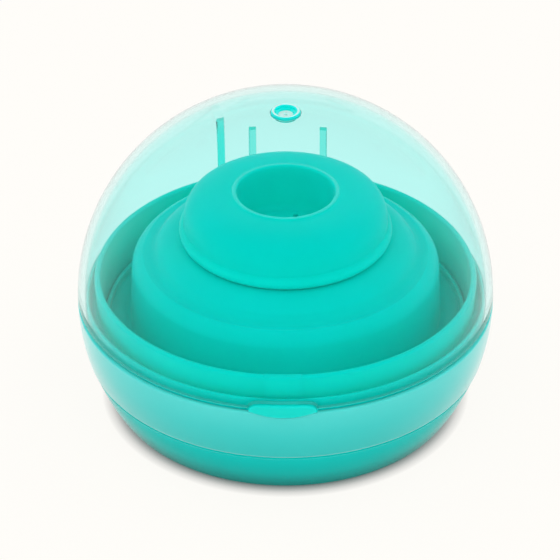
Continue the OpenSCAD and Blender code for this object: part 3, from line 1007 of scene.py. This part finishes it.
@dataclass
class SteamTray:
    """The stepped tray: brim, gutter, shoulder, and the sweep up to the neck and its collar."""

    wall: float = 1.6
    brim_r: float = 54.1
    brim_in_r: float = 52.9
    brim_z: float = -5.6
    low: float = -9.6
    gutter_turn: Point = (48.8, -5.6)
    gutter_r: float = 4.0
    gutter_a: float = 183.0
    shoulder_turn: Point = (40.6, 10.0)
    shoulder_r: float = 5.0
    crease: Point = (38.8, 14.5)
    # The soft hollow above the shoulder: its ends and the points that pull it
    hollow: tuple[Point, ...] = ((42.2, 14.74), (40.6, 14.4), (39.3, 14.2), (38.04, 16.94))
    bell_low: float = 17.2
    neck: Point = (30.0, 20.5)
    collar_r: float = 27.6
    collar_z: float = 26.0
    drains: int = 3
    drain_turn: float = 14.0
    drain_r: float = 50.2
    drain_d: float = 2.4
    drill: Point = (-12.0, -6.5)

    def bell(self, wall: float = 0.0, steps: int = 24) -> list[Point]:
        """Points of the bell from the neck out and down to the crease.

        Args:
            wall: How far the points are set in under the top side.
            steps: Number of steps.

        Returns:
            The points, from the neck downwards.
        """
        (neck_r, neck_z), (crease_r, crease_z) = self.neck, self.crease
        wide, tall = crease_r - neck_r - wall, neck_z - crease_z - wall
        turn = [math.radians(90 * i / steps) for i in range(steps + 1)]
        return [(neck_r + wide * math.sin(a), crease_z + tall * math.cos(a)) for a in turn]

    def crease_fillet(self, steps: int = 16) -> list[Point]:
        """Returns the soft hollow between shoulder and bell, from the shoulder inwards."""
        ends = [Vector(point) for point in self.hollow]
        points = []
        for i in range(steps + 1):
            t = i / steps
            shares = ((1 - t) ** 3, 3 * t * (1 - t) ** 2, 3 * t * t * (1 - t), t**3)
            spot = sum((end * share for end, share in zip(ends, shares)), Vector((0, 0)))
            points.append((spot.x, spot.y))
        return points

    def build(self) -> Piece:
        """Returns the tray with its drain holes."""
        inner, wall, low = self.collar_r - self.wall, self.wall, self.low
        neck_z, crease_z = self.neck[1], self.crease[1]
        points = outline([
            Bend(self.brim_r, low, 0.3), Bend(self.brim_r, self.brim_z, 0.4),
            Bend(self.brim_in_r, self.brim_z, 0.4), Bend(self.brim_in_r, low + wall, 0.6),
            arc(self.gutter_turn, self.gutter_r - wall, 270, self.gutter_a, 12),
            arc(self.shoulder_turn, self.shoulder_r, 3, 70, 16),
            self.crease_fillet(),
            [p for p in reversed(self.bell()) if p[1] > self.bell_low],
            Bend(self.collar_r, neck_z, 0.3), Bend(self.collar_r, self.collar_z, 0.4),
            Bend(inner, self.collar_z, 0.4), Bend(inner, neck_z - wall, 0.4),
            self.bell(wall),
            Bend(self.crease[0], crease_z - wall, 0.5),
            arc(self.shoulder_turn, self.shoulder_r - wall, 88, 3, 16),
            arc(self.gutter_turn, self.gutter_r, self.gutter_a, 270, 14),
        ])
        piece = lathe("steam_tray_turned", points)
        holes, upright = [], Matrix.Identity(4)
        for way in (-90.0, 90.0):
            for i in range(self.drains):
                a = math.radians(way + (i - (self.drains - 1) / 2) * self.drain_turn)
                spot = (self.drain_r * math.cos(a), self.drain_r * math.sin(a))
                holes.append(rod("drain", self.drain_d / 2, spot, *self.drill, upright, 28))
        work(piece, Join.CUT, holes)
        return piece


@dataclass
class SeatCap:
    """The crowned cap that a soother's shield rests on, with the well for its button."""

    wall: float = 1.6
    neck_r: float = 30.0
    neck_z: float = 20.5
    lip_centre: Point = (29.2, 22.7)
    lip_r: float = 2.2
    crown_low: float = 24.0
    crown_z: float = 35.0
    crown_full: float = 3.1
    # How far the crown's curve stays from the lip and the bead, which it runs into
    blend: float = 0.12
    well_r: float = 14.3
    well_z: float = 21.2
    well_turn_r: float = 11.3
    well_round: float = 2.5
    throat: Point = (14.28, 34.2)
    bead_centre: Point = (15.15, 34.7)
    bead_r: float = 0.85
    # Height above which the bead's crest gets its painted highlight
    highlight_z: float = 35.4
    hollow_r: float = 27.8
    hollow_z: float = 26.0
    steam_holes: int = 3
    steam_turn: float = 18.0
    steam_r: float = 9.6
    steam_d: float = 1.6
    drill: Point = (18.0, 22.5)

    def curve(self, foot: Point, top: Point, steps: int) -> list[Point]:
        """Points of the crown's full curve.

        Args:
            foot: Its outer, lower end.
            top: Its inner, upper end.
            steps: Number of steps.

        Returns:
            The points from foot to top.
        """
        p = 2 / self.crown_full
        turn = [math.radians(90 * i / steps) for i in range(steps + 1)]
        return [(top[0] + (foot[0] - top[0]) * max(0.0, math.cos(a)) ** p,
                 foot[1] + (top[1] - foot[1]) * math.sin(a) ** p) for a in turn]

    def on_mouth_highlight(self, spot: Vector) -> bool:
        """Tells whether a place is on the well bead's crest, where a highlight is painted."""
        off = math.dist((math.hypot(spot.x, spot.y), spot.z), self.bead_centre)
        return off < self.bead_r + 0.02 and spot.z > self.highlight_z

    def build(self) -> Piece:
        """Returns the cap with its steam holes."""
        wall, cup_r, top = self.wall, self.well_r + self.wall, self.crown_z - self.wall
        crown = self.curve((self.neck_r, self.crown_low), (self.well_r, self.crown_z), 64)
        hollow = self.curve((self.hollow_r, self.hollow_z), (cup_r, top), 32)
        shown = [p for p in reversed(crown)
                 if math.dist(p, self.lip_centre) > self.lip_r + self.blend
                 and math.dist(p, self.bead_centre) > self.bead_r + self.blend]
        floor_turn = (self.well_turn_r, self.well_z + self.well_round)
        points = outline([
            Bend(0, self.well_z),
            arc(floor_turn, self.well_round, -90, 0, 12),
            Bend(*self.throat, 0.2),
            arc(self.bead_centre, self.bead_r, 175, 30, 14),
            shown,
            arc(self.lip_centre, self.lip_r, 65, -67, 24),
            Bend(self.neck_r, self.neck_z, 0.1), Bend(self.hollow_r, self.neck_z, 0.3),
            hollow[:-1],
            Bend(cup_r, top, 0.4), Bend(cup_r, self.well_z - wall, 1.2),
            Bend(0, self.well_z - wall),
        ], closed=False)
        piece = lathe("seat_cap_turned", points)
        holes, upright = [], Matrix.Identity(4)
        for i in range(self.steam_holes):
            a = math.radians(90 - self.steam_turn + 360 * i / self.steam_holes)
            spot = (self.steam_r * math.cos(a), self.steam_r * math.sin(a))
            holes.append(rod("steam", self.steam_d / 2, spot, *self.drill, upright, 24))
        work(piece, Join.CUT, holes)
        return piece


@dataclass(frozen=True)
class Inlay:
    """A second finish, and the test that picks the faces it goes on by their middle."""

    finish: Finish
    chosen: Callable[[Vector], bool]


@dataclass(frozen=True)
class Place:
    """Where a piece belongs: its body, the node that it stands for, and its finishes."""

    build: Callable[[], Piece]
    node: str
    body: str
    finish: Finish
    inlays: tuple[Inlay, ...] = ()


@dataclass
class Case:
    """The whole case."""

    lid: Lid = field(default_factory=Lid)
    base: Base = field(default_factory=Base)
    tray: SteamTray = field(default_factory=SteamTray)
    cap: SeatCap = field(default_factory=SeatCap)

    def places(self) -> list[Place]:
        """Returns the pieces in the order they are made."""
        lid, base, cap = self.lid, self.base, self.cap
        return [
            Place(base.foot, "base_foot", "base", Finish.FOOT),
            Place(base.shell, "base_shell", "base", Finish.SHELL),
            Place(base.bowl, "water_bowl", "base", Finish.TEAL,
                  (Inlay(Finish.SHADED_TONGUE, base.on_tongue),)),
            Place(self.tray.build, "steam_tray", "tray", Finish.TEAL),
            Place(cap.build, "seat_cap", "cap", Finish.TEAL, (Inlay(Finish.EDGE, cap.on_mouth_highlight),)),
            Place(lid.dome, "lid_dome", "lid", Finish.CLEAR,
                  (Inlay(Finish.RIB, lid.on_hinge_rib), Inlay(Finish.TALL_RIB, lid.on_tall_rib),
                   Inlay(Finish.LID_EDGE, lid.on_end_face))),
            Place(lid.vent.build, "vent_ring", "lid", Finish.VENT,
                  (Inlay(Finish.VENT_REFLECTION, lid.vent.on_painted_reflection),)),
            Place(lid.pin, "hinge_pin", "lid", Finish.PIN),
        ]

    def make(self) -> None:
        """Makes each piece, dresses it and puts it on its body."""
        for place in self.places():
            piece = place.build()
            smooth(piece)
            place.finish.on(piece)
            for inlay in place.inlays:
                inlay.finish.on_faces(piece, inlay.chosen)
            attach(piece, place.body)
            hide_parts(place.node)
            LOG.info("%s: %d faces on %s", piece.name, len(piece.data.polygons), place.body)


# ----------------------------------------------------------------------------------------------
# Studio and camera
# ----------------------------------------------------------------------------------------------


@dataclass
class Studio:
    """A plain white floor and white surroundings, with four soft lamps that gloss doesn't show."""

    floor_m: float = 6.0
    white: str = "#fffdf9"
    sky: float = 0.56
    sky_top: float = 0.30
    # How high in the surroundings the seen white starts to fall off, and where it is lowest
    sky_rise: Point = (0.30, 0.85)
    floor_share: float = 0.06
    shade_mm: float = 4.0
    shade_samples: int = 16
    # Painted shadow, from the closest contact with a painted teal bounce out to the floor's white
    painted_shadow_tones: tuple[tuple[float, str], ...] = (
        (0.0, "#1c4f4f"), (0.25, "#8b9492"), (0.6, "#dddcd9"), (1.0, "#fffdf9"))
    lamp_m: float = 1.3
    lamp_size: float = 1.1
    front_turn: float = 30.0
    front_share: float = 0.19
    rear_turn: float = 115.0
    rear_share: float = 0.21
    rise: float = 48.0

    def seen_white(self, tree: Tree) -> Socket:
        """Returns a socket that is 1 for sight, also in a gloss or through the lid, 0 for light."""
        path = add(tree, "ShaderNodeLightPath").outputs
        first = add(tree, "ShaderNodeMath", {"operation": "MAXIMUM"},
                    {0: path["Is Camera Ray"], 1: path["Is Glossy Ray"]})
        sight = add(tree, "ShaderNodeMath", {"operation": "MAXIMUM"},
                    {0: first.outputs[0], 1: path["Is Transmission Ray"]})
        # A ray that a matt face has scattered carries light, also where it then meets the lid
        direct = add(tree, "ShaderNodeMath", {"operation": "LESS_THAN"},
                     {0: path["Diffuse Depth"], 1: 0.5})
        both = add(tree, "ShaderNodeMath", {"operation": "MULTIPLY"},
                   {0: sight.outputs[0], 1: direct.outputs[0]})
        return both.outputs[0]

    def floor(self) -> Piece:
        """Returns the floor, dressed."""
        bm = bmesh.new()
        bmesh.ops.create_grid(bm, x_segments=1, y_segments=1, size=self.floor_m / MM)
        piece = finish_mesh(bm, "studio_floor", lift=0.0)
        material, tree, out = fresh_material("studio_floor_white")
        matt = add(tree, "ShaderNodeBsdfDiffuse", {}, {"Color": linear(self.white)})
        # Most of what the eye sees is the floor's own white, with a painted shadow round the case
        near = add(tree, "ShaderNodeAmbientOcclusion", {"samples": self.shade_samples},
                   {"Distance": self.shade_mm * MM})
        tone = add(tree, "ShaderNodeValToRGB", {}, {"Fac": near.outputs["AO"]}, stops=self.painted_shadow_tones)
        own = add(tree, "ShaderNodeEmission", {}, {"Color": tone.outputs["Color"]})
        share = add(tree, "ShaderNodeMath", {"operation": "MULTIPLY"},
                    {0: self.seen_white(tree), 1: 1 - self.floor_share})
        both = add(tree, "ShaderNodeMixShader", {},
                   {"Fac": share.outputs[0], 1: matt.outputs["BSDF"], 2: own.outputs["Emission"]})
        tree.links.new(both.outputs["Shader"], out.inputs["Surface"])
        piece.data.materials.append(material)
        return piece

    def world(self) -> None:
        """Sets the white surroundings, which light the case at a plain level."""
        world = bpy.data.worlds.new("studio_white")
        world.use_nodes = True
        tree = world.node_tree
        tree.nodes.clear()
        out = add(tree, "ShaderNodeOutputWorld")
        # The white is full at the horizon and greyer overhead, as in a room with white walls
        place = add(tree, "ShaderNodeTexCoord").outputs["Generated"]
        height = add(tree, "ShaderNodeSeparateXYZ", {}, {"Vector": place}).outputs["Z"]
        seen = add(tree, "ShaderNodeMapRange", {},
                   {"Value": height, "From Min": self.sky_rise[0], "From Max": self.sky_rise[1],
                    "To Min": 1.0, "To Max": self.sky_top})
        level = add(tree, "ShaderNodeMapRange", {},
                    {"Value": self.seen_white(tree), "To Min": self.sky,
                     "To Max": seen.outputs["Result"]})
        sky = add(tree, "ShaderNodeBackground", {},
                  {"Color": linear(self.white), "Strength": level.outputs["Result"]})
        tree.links.new(sky.outputs["Background"], out.inputs["Surface"])
        bpy.context.scene.world = world

    def lamp(self, name: str, turn: float, share: float) -> None:
        """Adds a square soft lamp that faces the case.

        Args:
            name: Its name.
            turn: Angle in degrees round the case, counted from the front to the right.
            share: About the light that it throws on a card that faces it, where a share of 1 on a
                white card shows as white. The lamp's own size takes a fifth off that.
        """
        a, e = math.radians(turn), math.radians(self.rise)
        way = Vector((math.sin(a) * math.cos(e), -math.cos(a) * math.cos(e), math.sin(e)))
        data = bpy.data.lights.new(name, "AREA")
        data.shape = "SQUARE"
        data.size = self.lamp_size
        data.energy = share * (math.pi * self.lamp_m) ** 2
        lamp = bpy.data.objects.new(name, data)
        lamp.location = way * self.lamp_m + Vector((0, 0, SEAM * MM))
        lamp.rotation_mode = "QUATERNION"
        lamp.rotation_quaternion = (-way).to_track_quat("-Z", "Y")
        lamp.visible_glossy = False
        lamp.visible_transmission = False
        bpy.context.scene.collection.objects.link(lamp)

    def make(self) -> None:
        """Sets up floor, surroundings and lamps."""
        self.world()
        self.floor()
        for side, word in ((-1, "left"), (1, "right")):
            self.lamp("soft_front_" + word, side * self.front_turn, self.front_share)
            self.lamp("soft_rear_" + word, side * self.rear_turn, self.rear_share)


@dataclass
class Viewpoint:
    """The camera, at the photograph's angle."""

    elevation: float = 33.4
    azimuth: float = 0.8
    distance_m: float = 0.93
    focal_px: float = 3109.0
    ball_px: Point = (285.5, 291.5)
    sensor_mm: float = 36.0
    clip_m: Point = (0.05, 50.0)

    def make(self) -> Piece:
        """Returns the camera, set as the scene's."""
        a, e = math.radians(self.azimuth), math.radians(self.elevation)
        back = Vector((math.sin(a) * math.cos(e), -math.cos(a) * math.cos(e), math.sin(e)))
        turn = (-back).to_track_quat("-Z", "Y")
        right, up = turn @ Vector((1, 0, 0)), turn @ Vector((0, 1, 0))
        scale = self.distance_m / self.focal_px
        middle = Vector((0, 0, SEAM * MM))
        middle -= right * (self.ball_px[0] - IMAGE_PX / 2) * scale
        middle += up * (self.ball_px[1] - IMAGE_PX / 2) * scale
        data = bpy.data.cameras.new("camera")
        data.sensor_width = self.sensor_mm
        data.lens = self.focal_px / IMAGE_PX * self.sensor_mm
        data.clip_start, data.clip_end = self.clip_m
        camera = bpy.data.objects.new("camera", data)
        camera.location = middle + back * self.distance_m
        camera.rotation_mode = "QUATERNION"
        camera.rotation_quaternion = turn
        bpy.context.scene.collection.objects.link(camera)
        bpy.context.scene.camera = camera
        return camera


def main() -> None:
    """Builds the case, its studio and its camera."""
    logging.basicConfig(level=logging.INFO, format="%(name)s: %(message)s")
    bpy.context.scene.view_settings.view_transform = "Standard"
    Viewpoint().make()
    Studio().make()
    Case().make()


if __name__ == "__main__":
    main()
